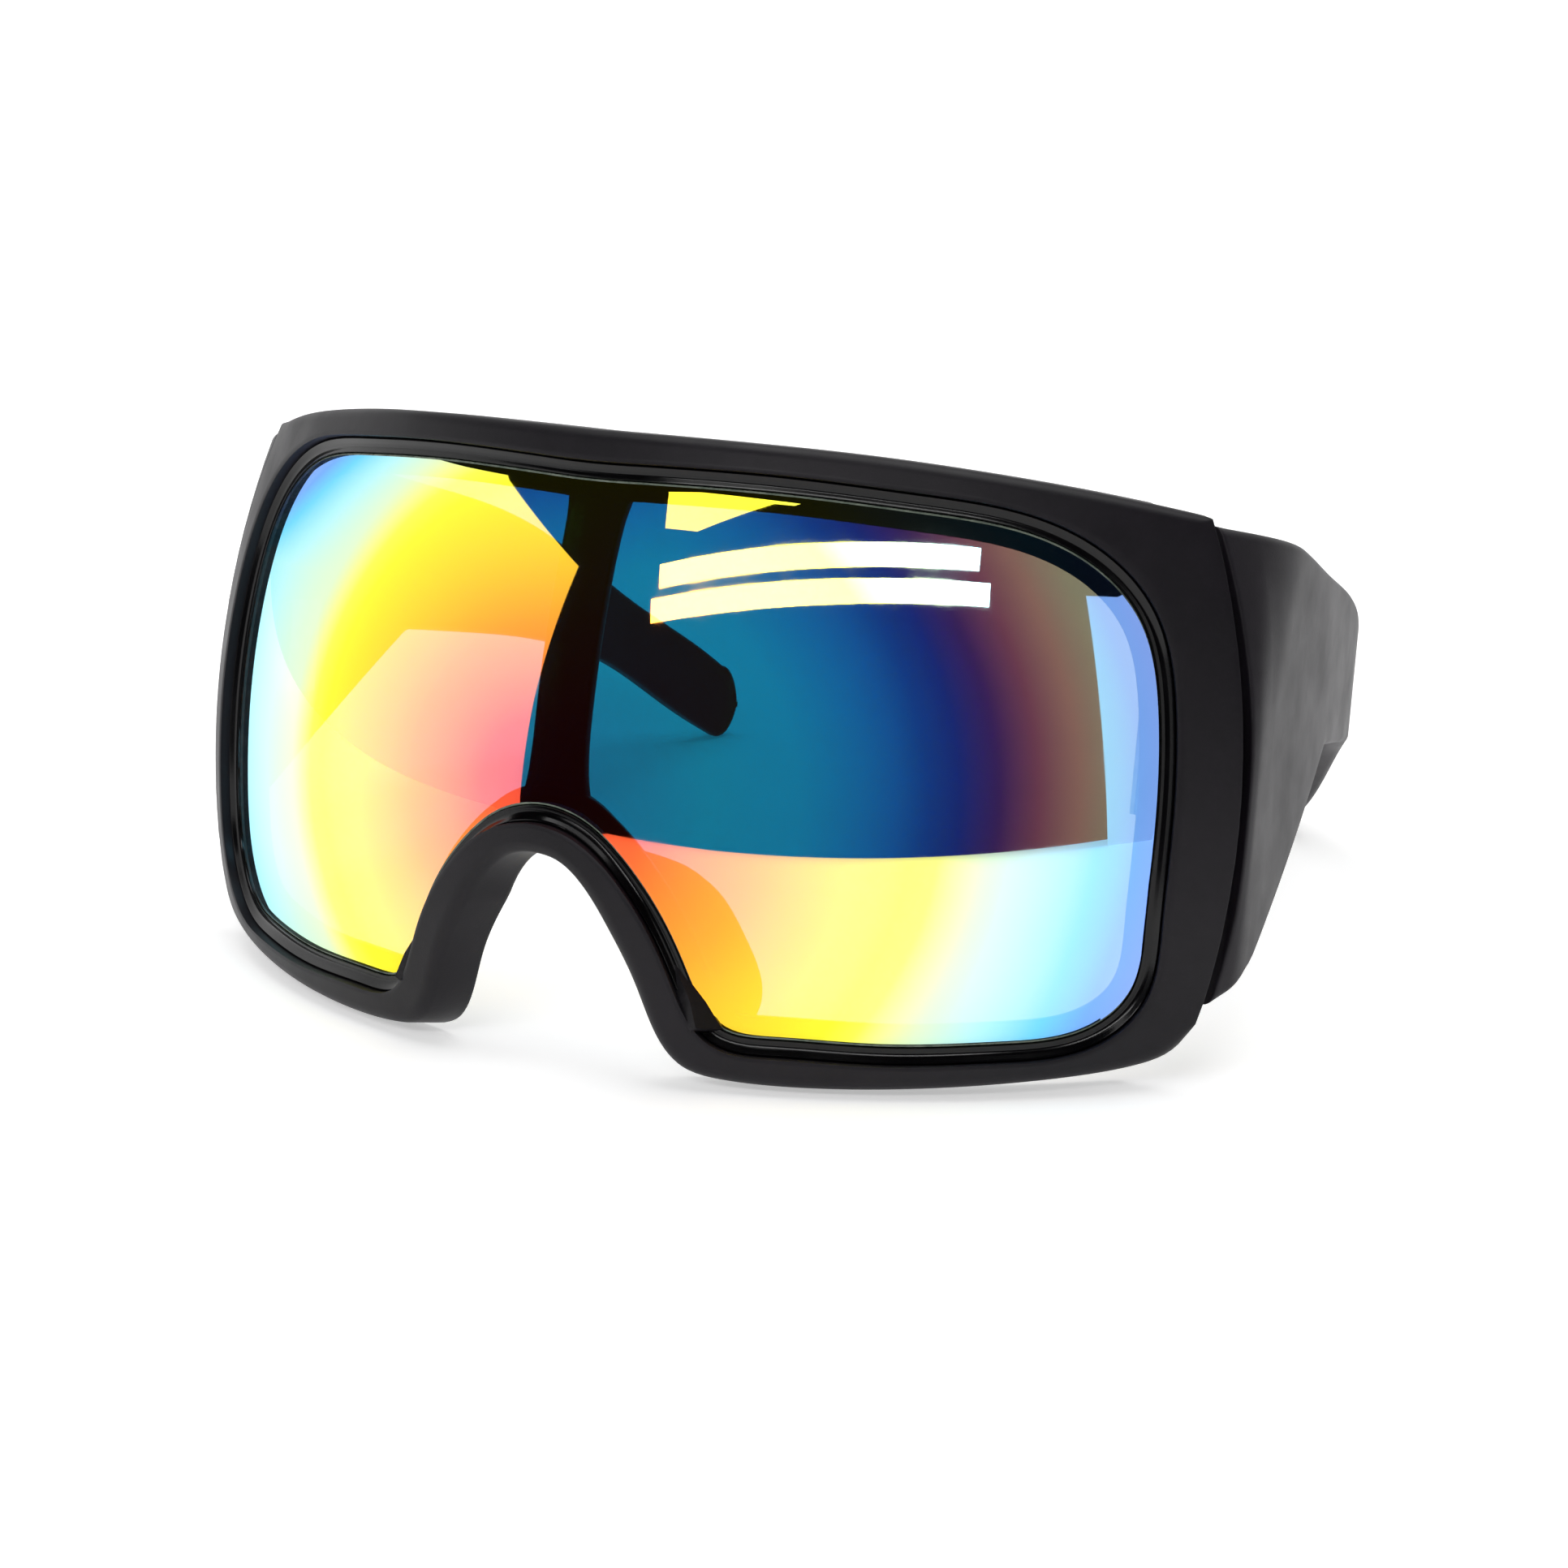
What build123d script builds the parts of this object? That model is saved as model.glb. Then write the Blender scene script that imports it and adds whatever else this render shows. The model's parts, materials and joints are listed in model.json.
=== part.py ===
from build123d import *

import os
from math import acos, cos, radians, sin, sqrt, tan

# Wrap-around shield glasses. The shapes are drawn in an upright frame (x to the wearer's left, y back along
# the head, z up, x = 0 the plane of symmetry), then leaned back so that the rim and a temple tip rest on z = 0.

# Curvature of the front: a vertical axis behind it, and a crowned vertical section
LENS_RADIUS = 88.3
CROWN_RADIUS = 111.0
CROWN_Z = 31.2
SHELL_LOW, SHELL_HIGH = -12.0, 80.0

# Depths, measured outward from the lens's outer surface
FACE_PROUD = 2.2
LENS_THICKNESS = 1.8
BACK_DEPTH = 3.6
RIM_PROUD = 1.0
SEAT_GAP = 0.1

# Widths in the plane of the front
LEDGE_WIDTH = 2.2
RIM_WIDTH = 1.9
POST_WIDTH = 7.0
POST_FLARE = 9.0

# Walls of the openings are cut along this angle from straight back, to suit the wrap
WALL_SLANT = radians(28)
JOINT_Y = 30.7
BUTT_GAP = 0.3

# Temples
TEMPLE_THICKNESS = 3.0
CORNER_RADIUS = 3.4
STRAIGHT_ANGLE = radians(82.8)
BOW_RADIUS = 450.0
HOOK_START = 60.0
HOOK_RADIUS = 125.0
TEMPLE_LENGTH = 110.0
CROWN_BLEND = 11.0
LEFT_FOLD_AT_REST = 19.5

# Hinges
AXIS_X, AXIS_Y = 62.3, JOINT_Y + BUTT_GAP / 2
KNUCKLE_RADIUS = 1.5
KNUCKLE_HEIGHT = 2.0
KNUCKLE_GAP = 0.3
KNUCKLE_LOW = 31.4
SCREW_RADIUS = 0.65
SCREW_CLEARANCE = 0.05
SCREW_HEAD_RADIUS = 1.2
SCREW_HEAD_HEIGHT = 0.7
LEAF_THICKNESS = 1.1
FRONT_LEAF_SPAN = (2.1, 4.9)
TEMPLE_LEAF_SPAN = (3.3, 9.6)
SEAT_THICKNESS = 1.2
FRONT_LEAF_OFFSET = -1.5
FRONT_LEAF_ANGLE = 50.4
LEAF_SCREW_RADIUS = 0.6
FRONT_SCREW_PLACES = [(3.55, -3.4), (3.55, 3.4)]
TEMPLE_SCREW_PLACES = [(4.8, 0), (7.9, 0)]
LEAF_SCREW_HEAD = 1.0
LEAF_SCREW_DEPTH = 1.3

# Cutting tools, larger than what they cut
CENTRE_OVERLAP = 3.0
TOOL_REACH = 75.0
POST_REACH = 20.0
CLEAR_OUTSIDE = 14.0
INSIDE_X = 45.0

# Rest pose
LEAN_BACK = 11.5
REST_LINE_Y = 12.3
REST_LIFT = 4.15

# Outlines as (distance along the curve from the centre, height), right half, clockwise from the top centre
LENS_TOP = [
    (0, 61.4), (12, 62.3), (26, 62.6), (40, 62.1), (52, 60.9), (60.3, 57.5), (65.6, 52), (68.2, 43), (69, 31),
    (68.9, 20), (68, 12.4), (63, 7.6), (54, 5.5), (42, 4.1), (30, 3.6), (24.6, 3.7), (22.3, 5.0),
]
LENS_ARCH = [(18.8, 10.7), (15, 16.7), (10.7, 21.4), (6, 24.8), (0, 26.2)]
FRONT_TOP = [(0, 67.7), (30, 67.7), (46, 67.0), (58, 66.0), (71, 64.4), (90, 61.5)]
FRONT_BOTTOM = [
    (90, 15), (78, 11.2), (76, 9.3), (73.5, 6.3), (70, 4.5), (60, 2.1), (44, -0.4), (32, -1.5), (24, -1.6),
]
FRONT_ARCH = [(19.5, -0.7), (16.4, 2.2), (13.2, 8.2), (9.4, 14.0), (6.2, 18.0), (3.2, 20.3), (0, 20.9)]

# Temple side outline as (distance along the temple from the joint, height)
TEMPLE_TOP = [(0, 63.3), (15, 61.4), (32, 58.4), (52, 55.6), (71, 51.0), (90, 42.0), (103, 36.0), (107.2, 33.6)]
TEMPLE_END = (110, 27.7)
TEMPLE_UNDER = [(107.2, 23.6), (100, 26.8), (86.7, 33.2), (72, 36.4), (57, 37.4), (40.2, 38.0)]
TEMPLE_HEEL = (0, 11.3)
TEMPLE_SIDE_REACH = 30.0

# Hinge boss inside each temple, in plan
BOSS = [(63.5, 31.0), (63.5, 43.6), (70.6, 52.0), (71.6, 52.0), (70.3, 38.0), (67.6, 31.0)]
BOSS_MARGIN = 2.5
BOSS_FACE_X = BOSS[0][0]
FOLD_RELIEF_X = 62.8
FOLD_RELIEF_DEPTH = 7.0

# Nose pads, drawn on the arch and carried back and outward
PAD_LINE = [(3.0, 20.8), (6.5, 18.6), (9.8, 14.6), (13.6, 8.8), (16.6, 3.4)]
PAD_THICKNESS = 1.8
PAD_REACH = 11.0
PAD_SPLAY = radians(32)


def arc_y(offset, z):
    """Depth of the shell's section at x = 0, for a surface that stands offset outside the lens."""
    reach = CROWN_RADIUS
    return -offset + reach - sqrt(reach**2 - (z - CROWN_Z) ** 2)


def shell(outer, inner, y_low=-20.0, y_high=JOINT_Y):
    """Left half of a barrel between two offsets from the lens's outer surface, over a span of y."""
    mid = (SHELL_LOW + SHELL_HIGH) / 2
    front, back = [[(0, arc_y(offset, z), z) for z in (SHELL_LOW, mid, SHELL_HIGH)] for offset in (outer, inner)]
    section = make_face(
        [
            ThreePointArc(*front),
            Line(front[2], back[2]),
            ThreePointArc(*back),
            Line(back[0], front[0]),
        ]
    )
    barrel = revolve(section, Axis((0, LENS_RADIUS, 0), (0, 0, 1)))
    reach = 2 * LENS_RADIUS
    keep = Pos(reach / 2, (y_low + y_high) / 2, CROWN_Z) * Box(reach, y_high - y_low, 2 * SHELL_HIGH)
    return barrel & keep


def slanted(s, z):
    """Point of an outline on the y = 0 plane, carried there from the lens surface along the wall direction."""
    angle = s / LENS_RADIUS
    x = LENS_RADIUS * sin(angle)
    y = LENS_RADIUS - LENS_RADIUS * cos(angle)
    return (x + y * tan(WALL_SLANT), 0, z)


def grown(outline, amount):
    """The outline moved outward by an amount, with its first and last points kept on the centre line."""
    moved = []
    for i, (s, z) in enumerate(outline):
        before = outline[max(i - 1, 0)]
        after = outline[min(i + 1, len(outline) - 1)]
        ds, dz = after[0] - before[0], after[1] - before[1]
        length = sqrt(ds**2 + dz**2)
        if i in (0, len(outline) - 1):
            moved.append((s, z + amount * abs(ds) / ds))
        else:
            moved.append((s - dz / length * amount, z + ds / length * amount))
    return moved


def half_tool(edges_points):
    """Slanted prism over one half outline, given as a list of smooth stretches that join end to end."""
    edges = []
    for stretch in edges_points:
        points = [slanted(s, z) for s, z in stretch]
        edges.append(Line(*points) if len(points) == 2 else Spline(*points))
    top, bottom = edges_points[0][0][1], edges_points[-1][-1][1]
    edges += [
        Line((0, 0, bottom), (-CENTRE_OVERLAP, 0, bottom)),
        Line((-CENTRE_OVERLAP, 0, bottom), (-CENTRE_OVERLAP, 0, top)),
        Line((-CENTRE_OVERLAP, 0, top), (0, 0, top)),
    ]
    face = make_face(edges)
    way = Vector(-sin(WALL_SLANT), cos(WALL_SLANT), 0)
    return extrude(face, amount=TOOL_REACH, dir=way, both=True)


def lens_form(grow):
    return half_tool([grown(LENS_TOP + LENS_ARCH, grow)])


def front_form():
    return half_tool([FRONT_TOP, [FRONT_TOP[-1], FRONT_BOTTOM[0]], FRONT_BOTTOM + FRONT_ARCH])


def mirrored(shape):
    return mirror(shape, about=Plane.YZ)


def make_post():
    """Upright behind the lens, from the brow to the nose arch, flared where it meets them."""
    half, flare = POST_WIDTH / 2, POST_FLARE
    side = [(half + flare, 65), (half + 2, 60), (half, 52), (half, 36), (half + 2, 28), (half + flare, 22)]
    right = Spline(*[(x, 0, z) for x, z in side])
    left = Spline(*[(-x, 0, z) for x, z in reversed(side)])
    face = make_face([right, Line(right @ 1, left @ 0), left, Line(left @ 1, right @ 0)])
    tool = extrude(face, amount=POST_REACH, both=True)
    return shell(-LENS_THICKNESS - SEAT_GAP, -BACK_DEPTH) & tool


def axis_cylinder(radius, low, high):
    return Pos(AXIS_X, AXIS_Y, (low + high) / 2) * Cylinder(radius, high - low)


def knuckle_span(index):
    low = KNUCKLE_LOW + index * (KNUCKLE_HEIGHT + KNUCKLE_GAP)
    return low, low + KNUCKLE_HEIGHT


HINGE_LOW = knuckle_span(0)[0]
HINGE_HIGH = knuckle_span(4)[1]
HINGE_MID = (HINGE_LOW + HINGE_HIGH) / 2


def leaf(knuckles, place, span, side_in):
    """Hinge leaf: a plate over a span of local x, offset by side_in, and its knuckles."""
    start, end = span
    height = HINGE_HIGH - HINGE_LOW
    plate = Pos((start + end) / 2, side_in, 0) * Box(end - start, LEAF_THICKNESS, height)
    body = place * plate
    for index in knuckles:
        low, high = knuckle_span(index)
        middle = (low + high) / 2 - HINGE_MID
        web_length = start - SCREW_RADIUS + 0.4
        web_place = Pos(SCREW_RADIUS + web_length / 2 - 0.1, side_in, middle)
        body += place * web_place * Box(web_length, LEAF_THICKNESS, high - low)
        body += axis_cylinder(KNUCKLE_RADIUS, low, high)
    return body - axis_cylinder(SCREW_RADIUS + SCREW_CLEARANCE, HINGE_LOW - 1, HINGE_HIGH + 1)


def leaf_screw_shape(place, places, side_in, way):
    """Two small screws through a leaf's plate. way is +1 or -1, towards the plastic on local y."""
    screws = []
    turn = Rot(-90 * way, 0, 0)
    for along, height in places:
        surface = side_in - way * LEAF_THICKNESS / 2
        shank = Pos(along, surface, height) * turn * Pos(0, 0, (LEAF_SCREW_DEPTH + LEAF_THICKNESS) / 2)
        head = Pos(along, surface, height) * turn * Pos(0, 0, 0.15)
        screw = shank * Cylinder(LEAF_SCREW_RADIUS, LEAF_SCREW_DEPTH + LEAF_THICKNESS)
        screw += head * Cylinder(LEAF_SCREW_HEAD, 0.5)
        screws.append(place * screw)
    return screws


def pivot_screw():
    low, high = HINGE_LOW, HINGE_HIGH
    shank = axis_cylinder(SCREW_RADIUS, low, high + 0.05)
    head = axis_cylinder(SCREW_HEAD_RADIUS, high + 0.05, high + 0.05 + SCREW_HEAD_HEIGHT)
    middle = high + 0.05 + SCREW_HEAD_HEIGHT
    slot = Pos(AXIS_X, AXIS_Y, middle) * Box(2 * SCREW_HEAD_RADIUS + 1, 0.4, 0.7)
    return shank + head - slot


def hinge_room():
    return axis_cylinder(KNUCKLE_RADIUS + 0.4, HINGE_LOW - 0.4, HINGE_HIGH + 1.2)


def temple_station(t, inner=0.0):
    """Plan position and heading of the temple's outer surface at a distance t behind the joint."""
    outer = LENS_RADIUS + FACE_PROUD
    start = acos((LENS_RADIUS - JOINT_Y) / outer)
    x, y = outer * sin(start), JOINT_Y + BUTT_GAP
    corner = CORNER_RADIUS * (STRAIGHT_ANGLE - start)
    turned = min(t, corner)
    angle = start + turned / CORNER_RADIUS
    x += CORNER_RADIUS * (sin(angle) - sin(start))
    y += CORNER_RADIUS * (cos(start) - cos(angle))
    for begin, end, radius in ((corner, HOOK_START, BOW_RADIUS), (HOOK_START, TEMPLE_LENGTH * 2, HOOK_RADIUS)):
        bend = max(min(t, end) - begin, 0) / radius
        x += radius * (sin(angle + bend) - sin(angle))
        y += radius * (cos(angle) - cos(angle + bend))
        angle += bend
    return x - inner * sin(angle), y + inner * cos(angle), angle


def temple_path(inner):
    """Plan curve of the temple at a depth inside its outer surface: the corner, the long bow, then the hook."""
    start = acos((LENS_RADIUS - JOINT_Y) / (LENS_RADIUS + FACE_PROUD))
    corner = CORNER_RADIUS * (STRAIGHT_ANGLE - start)
    end = TEMPLE_LENGTH + 4
    stops = [0, corner, HOOK_START, end]
    arcs = []
    for begin, finish in zip(stops, stops[1:]):
        places = [temple_station(t, inner) for t in (begin, (begin + finish) / 2, finish)]
        arcs.append(ThreePointArc(*[(x, y, SHELL_LOW) for x, y, _ in places]))
    return arcs


def temple_band():
    """The temple's wall before its side outline is cut."""
    outer, inner = temple_path(0), temple_path(TEMPLE_THICKNESS)
    wall = make_face([*outer, *inner, Line(outer[0] @ 0, inner[0] @ 0), Line(outer[-1] @ 1, inner[-1] @ 1)])
    height = SHELL_HIGH - SHELL_LOW
    band = extrude(wall, amount=height, dir=(0, 0, 1))
    front_of_blend, end_of_blend = JOINT_Y + BUTT_GAP, JOINT_Y + CROWN_BLEND
    band -= shell(FACE_PROUD + CLEAR_OUTSIDE, FACE_PROUD, front_of_blend - 1, end_of_blend)
    start, far = outer[0] @ 0, outer[1] @ 0.4
    back_corner, front_corner = (INSIDE_X, far.Y, SHELL_LOW), (INSIDE_X, start.Y, SHELL_LOW)
    inside = make_face([outer[0], Line(outer[0] @ 1, far), Polyline(far, back_corner, front_corner, start)])
    crowned = shell(FACE_PROUD, FACE_PROUD - TEMPLE_THICKNESS, front_of_blend, end_of_blend)
    return band + (crowned & extrude(inside, amount=height, dir=(0, 0, 1)))


def side_point(t, z):
    """Point of the side outline on the x = 0 plane."""
    return (0, temple_station(t)[1], z)


def temple_side_tool():
    """Prism along x over the temple's side outline."""
    top = [side_point(t, z) for t, z in TEMPLE_TOP]
    under = [side_point(t, z) for t, z in TEMPLE_UNDER]
    heel = side_point(*TEMPLE_HEEL)
    edges = [
        Spline(*top),
        ThreePointArc(top[-1], side_point(*TEMPLE_END), under[0]),
        Spline(*under),
        Line(under[-1], heel),
        Line(heel, top[0]),
    ]
    return Pos(LENS_RADIUS - 20, 0, 0) * extrude(make_face(edges), amount=TEMPLE_SIDE_REACH, both=True)


def leaf_place_front():
    """Local x runs forward from the barrel along the inside of the end piece, local +y away from the head."""
    heading = 180 + FRONT_LEAF_ANGLE
    return Pos(AXIS_X, AXIS_Y, HINGE_MID) * Rot(0, 0, heading)


def leaf_place_temple():
    """Local x runs back from the barrel along the boss, local +y towards the head."""
    return Pos(AXIS_X, AXIS_Y, HINGE_MID) * Rot(0, 0, 90)


def make_temple():
    body = temple_band() & temple_side_tool()
    boss_face = make_face(Polyline(*[(x, y, HINGE_LOW - BOSS_MARGIN) for x, y in BOSS], close=True))
    body += extrude(boss_face, amount=HINGE_HIGH - HINGE_LOW + 2 * BOSS_MARGIN, dir=(0, 0, 1))
    relief = Pos(FOLD_RELIEF_X - 10, JOINT_Y, CROWN_Z) * Box(20, 2 * FOLD_RELIEF_DEPTH, 2 * SHELL_HIGH)
    return body - relief - hinge_room()


def make_pad():
    """Flange that runs back and outward from one leg of the nose arch, behind the rim."""
    inner = [slanted(s, z) for s, z in PAD_LINE]
    outer = [(x + PAD_THICKNESS, y, z + 0.6) for x, y, z in inner]
    ends = [Line(inner[-1], outer[-1]), Line(outer[0], inner[0])]
    face = make_face([Spline(*inner), ends[0], Spline(*reversed(outer)), ends[1]])
    way = Vector(sin(PAD_SPLAY), cos(PAD_SPLAY), 0)
    flange = extrude(face, amount=PAD_REACH + BACK_DEPTH, dir=way)
    return flange - shell(FACE_PROUD + CLEAR_OUTSIDE, -BACK_DEPTH)


def make_lens():
    half = shell(0, -LENS_THICKNESS) & lens_form(0)
    return half + mirrored(half)


def make_rim():
    half = (shell(RIM_PROUD, -LENS_THICKNESS) & lens_form(RIM_WIDTH)) - lens_form(SEAT_GAP)
    return half + mirrored(half)


def make_front():
    half = shell(FACE_PROUD, -BACK_DEPTH) & front_form()
    half -= shell(FACE_PROUD + CLEAR_OUTSIDE, -LENS_THICKNESS - SEAT_GAP) & lens_form(RIM_WIDTH + SEAT_GAP)
    half -= lens_form(-LEDGE_WIDTH)
    half += make_post()
    half += make_leaf_seat()
    half -= hinge_room()
    half -= make_front_leaf()
    for screw in make_front_leaf_screws():
        half -= screw
    return half + mirrored(half)


def make_leaf_seat():
    """Raised pad on the back of the end piece that carries the front leaf."""
    start, end = FRONT_LEAF_SPAN
    middle = FRONT_LEAF_OFFSET + (LEAF_THICKNESS + SEAT_THICKNESS) / 2
    pad = Pos((start + end) / 2, middle, 0) * Box(end - start, SEAT_THICKNESS, HINGE_HIGH - HINGE_LOW)
    return leaf_place_front() * pad


def make_front_leaf():
    return leaf([0, 2, 4], leaf_place_front(), FRONT_LEAF_SPAN, FRONT_LEAF_OFFSET)


def make_front_leaf_screws():
    return leaf_screw_shape(leaf_place_front(), FRONT_SCREW_PLACES, FRONT_LEAF_OFFSET, 1)


def temple_leaf_offset():
    return -(BOSS_FACE_X - AXIS_X - LEAF_THICKNESS / 2)


def make_temple_leaf():
    return leaf([1, 3], leaf_place_temple(), TEMPLE_LEAF_SPAN, temple_leaf_offset())


def make_temple_leaf_screws():
    return leaf_screw_shape(leaf_place_temple(), TEMPLE_SCREW_PLACES, temple_leaf_offset(), -1)


def drilled(leaf_body, screws):
    for screw in screws:
        leaf_body -= screw
    return leaf_body


def fitted_temple():
    body = make_temple() - make_temple_leaf()
    for screw in make_temple_leaf_screws():
        body -= screw
    return body


def upright_pieces():
    """Each node's solids in the upright frame, with the right temple open and the left one part folded."""
    front_leaf = drilled(make_front_leaf(), make_front_leaf_screws())
    temple_leaf = drilled(make_temple_leaf(), make_temple_leaf_screws())
    fixed = {
        "nose_pad": [make_pad()],
        "front_hinge": [front_leaf],
        "hinge_screw": [pivot_screw()],
        "front_leaf_screws": make_front_leaf_screws(),
    }
    folding = {
        "temple": [fitted_temple()],
        "temple_hinge": [temple_leaf],
        "temple_leaf_screws": make_temple_leaf_screws(),
    }
    fold = Pos(AXIS_X, AXIS_Y, 0) * Rot(0, 0, LEFT_FOLD_AT_REST) * Pos(-AXIS_X, -AXIS_Y, 0)
    pieces = {"front_frame": [make_front()], "lens_rim": [make_rim()], "shield_lens": [make_lens()]}
    for name, solids in fixed.items():
        pieces[name + "_left"] = solids
        pieces[name + "_right"] = [mirrored(solid) for solid in solids]
    for name, solids in folding.items():
        pieces[name + "_left"] = [fold * solid for solid in solids]
        pieces[name + "_right"] = [mirrored(solid) for solid in solids]
    return pieces


os.makedirs("parts", exist_ok=True)
rest = Pos(0, -REST_LINE_Y, REST_LIFT) * Rot(-LEAN_BACK, 0, 0)
for node, solids in upright_pieces().items():
    placed = [rest * solid for solid in solids]
    export_step(Compound(children=placed) if len(placed) > 1 else placed[0], f"parts/{node}.step")
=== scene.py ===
import json
from math import acos, atan2, cos, pi, radians, sin, tan
import bpy
import numpy as np
from mathutils import Matrix, Vector


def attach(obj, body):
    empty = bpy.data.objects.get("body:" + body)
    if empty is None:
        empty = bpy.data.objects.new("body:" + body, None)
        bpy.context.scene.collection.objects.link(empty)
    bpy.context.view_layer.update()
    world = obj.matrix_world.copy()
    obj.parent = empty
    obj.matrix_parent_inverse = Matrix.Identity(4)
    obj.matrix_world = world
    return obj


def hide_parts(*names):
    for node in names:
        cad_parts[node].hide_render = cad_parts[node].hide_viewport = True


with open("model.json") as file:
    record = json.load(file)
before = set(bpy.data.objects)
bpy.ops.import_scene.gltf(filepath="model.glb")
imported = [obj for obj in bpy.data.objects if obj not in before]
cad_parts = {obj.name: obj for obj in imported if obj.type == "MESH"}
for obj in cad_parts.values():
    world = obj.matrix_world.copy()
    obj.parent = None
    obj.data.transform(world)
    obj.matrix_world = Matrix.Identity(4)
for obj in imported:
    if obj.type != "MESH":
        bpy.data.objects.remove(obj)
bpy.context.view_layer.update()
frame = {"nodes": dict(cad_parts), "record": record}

# ---------------------------------------------------------------- sizes, in mm, in the upright design frame
LENS_RADIUS = 88.3
CROWN_RADIUS = 111.0
CROWN_Z = 31.2
FACE_PROUD = 2.2
LENS_THICKNESS = 1.8
BACK_DEPTH = 3.6
SEAT_DEPTH = 1.95
RIM_GAP = 0.12
RIM_WIDTH = 1.88
RECESS_WIDTH = 1.98
LEDGE_WIDTH = 2.2
WALL_SLANT = radians(28)
JOINT_Y = 30.7
BUTT_GAP = 0.3
AXIS_X, AXIS_Y = 62.3, JOINT_Y + BUTT_GAP / 2
TEMPLE_THICKNESS = 3.0
CORNER_RADIUS = 3.4
STRAIGHT_ANGLE = radians(82.8)
BOW_RADIUS = 450.0
HOOK_START = 60.0
HOOK_RADIUS = 125.0
TEMPLE_LENGTH = 110.0
TIP_START = 107.2
HINGE_LOW, HINGE_HIGH = 31.4, 42.6
BOSS_MARGIN = 2.5
BOSS = [
    (65.2, 31.4), (64.4, 32.4), (63.5, 33.2), (63.5, 43.6),
    (70.4, 52.0), (71.4, 52.0), (70.2, 38.0), (68.0, 31.6),
]
RELIEF_X, RELIEF_Y = 62.8, 37.7
REST_LINE_Y, REST_LIFT = 12.3, 4.15
PAD_SPLAY = radians(32)
PAD_REACH = 9.5
PAD_START = 3.3
FACE_EDGE_RADIUS, BACK_EDGE_RADIUS = 1.1, 0.8
JOINT_FACE_RADIUS, JOINT_BACK_RADIUS = 0.22, 0.25
RECESS_EDGE = 0.45
LEDGE_CHAMFER = 0.15
POST_LOW, POST_HIGH = 21.6, 64.6
POST_EDGE_RADIUS, POST_BACK_RADIUS = 0.35, 0.6
LENS_CHAMFER, LENS_INSET = 0.12, 0.2
TEMPLE_FACE_RADIUS, TEMPLE_BACK_RADIUS = 1.0, 0.8
TEMPLE_END_CHAMFER = 0.3
HEEL_CORNER_REACH = 3.0
BOSS_BEVEL = 0.0004

LENS_LINE = [
    (0, 62.2), (12, 62.45), (26, 62.6), (40, 62.1), (52, 60.9), (60.3, 57.5), (65.6, 52), (68.2, 43),
    (69, 31), (68.9, 20), (68, 12.4), (63, 7.6), (54, 5.5), (42, 4.1), (30, 3.6), (24.6, 3.7), (22.3, 5.0),
    (18.8, 10.7), (15, 16.7), (10.7, 21.4), (6, 24.8), (0, 26.2),
]
FRONT_TOP = [(0, 67.7), (30, 67.7), (46, 67.0), (58, 66.0), (71, 64.4), (90, 61.5)]
FRONT_LOW = [
    (90, 15), (78, 11.2), (76, 9.3), (73.5, 6.3), (70, 4.5), (60, 2.1), (44, -0.4), (32, -1.5), (24, -1.6),
    (19.5, -0.7), (16.4, 2.2), (13.2, 8.2), (9.4, 14.0), (6.2, 18.0), (3.2, 20.3), (0, 20.9),
]
TEMPLE_TOP = [
    (0, 63.3), (15, 61.4), (32, 58.4), (52, 55.6), (71, 51.0), (90, 42.0), (103, 36.0), (TIP_START, 33.6),
]
TEMPLE_UNDER = [(40.2, 38.0), (57, 37.4), (72, 36.4), (86.7, 33.2), (100, 26.8), (TIP_START, 23.6)]
TEMPLE_HEEL = (0, 11.3)
CROWN_BLEND = 3.0
TEMPLE_TIP_Z = 28.2
PAD_LINE = [(3.0, 20.8), (6.5, 18.6), (9.8, 14.6), (13.6, 8.8), (16.6, 3.4)]

JOINTS = {joint["name"]: joint for joint in frame["record"]["behaviour"]["joints"]}
FOLD_AXIS = JOINTS["left_temple_fold"]["axis"]
LEAN = atan2(FOLD_AXIS[1], FOLD_AXIS[2])
LEFT_FOLD = radians(-JOINTS["left_temple_fold"]["range_deg"][0])


# ---------------------------------------------------------------- curves and surfaces
def spline(points, count=None, ends=(None, None), periodic=False):
    """Dense cubic spline through points. ends are slopes' directions, or None for a free end."""
    p = np.array(points, float)
    if periodic:
        p = np.vstack([p[-4:-1], p, p[1:4]])
    t = np.concatenate([[0], np.cumsum(np.linalg.norm(np.diff(p, axis=0), axis=1) ** 0.75)])
    n = len(p)
    h = np.diff(t)
    a, b = np.zeros((n, n)), np.zeros((n, p.shape[1]))
    for i in range(1, n - 1):
        a[i, i - 1 : i + 2] = h[i - 1], 2 * (h[i - 1] + h[i]), h[i]
        b[i] = 6 * ((p[i + 1] - p[i]) / h[i] - (p[i] - p[i - 1]) / h[i - 1])
    a[0, 0] = a[-1, -1] = 1
    if ends[0] is not None:
        a[0, :2] = 2 * h[0], h[0]
        b[0] = 6 * ((p[1] - p[0]) / h[0] - np.array(ends[0]))
    if ends[1] is not None:
        a[-1, -2:] = h[-1], 2 * h[-1]
        b[-1] = 6 * (np.array(ends[1]) - (p[-1] - p[-2]) / h[-1])
    m = np.linalg.solve(a, b)
    first, last = (t[3], t[-4]) if periodic else (t[0], t[-1])
    x = np.linspace(first, last, count or 60 * len(points))
    i = np.clip(np.searchsorted(t, x) - 1, 0, n - 2)
    lo, hi, w = (x - t[i])[:, None], (t[i + 1] - x)[:, None], h[i][:, None]
    return (
        m[i] * hi**3 / (6 * w) + m[i + 1] * lo**3 / (6 * w)
        + (p[i] / w - m[i] * w / 6) * hi + (p[i + 1] / w - m[i + 1] * w / 6) * lo
    )


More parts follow.
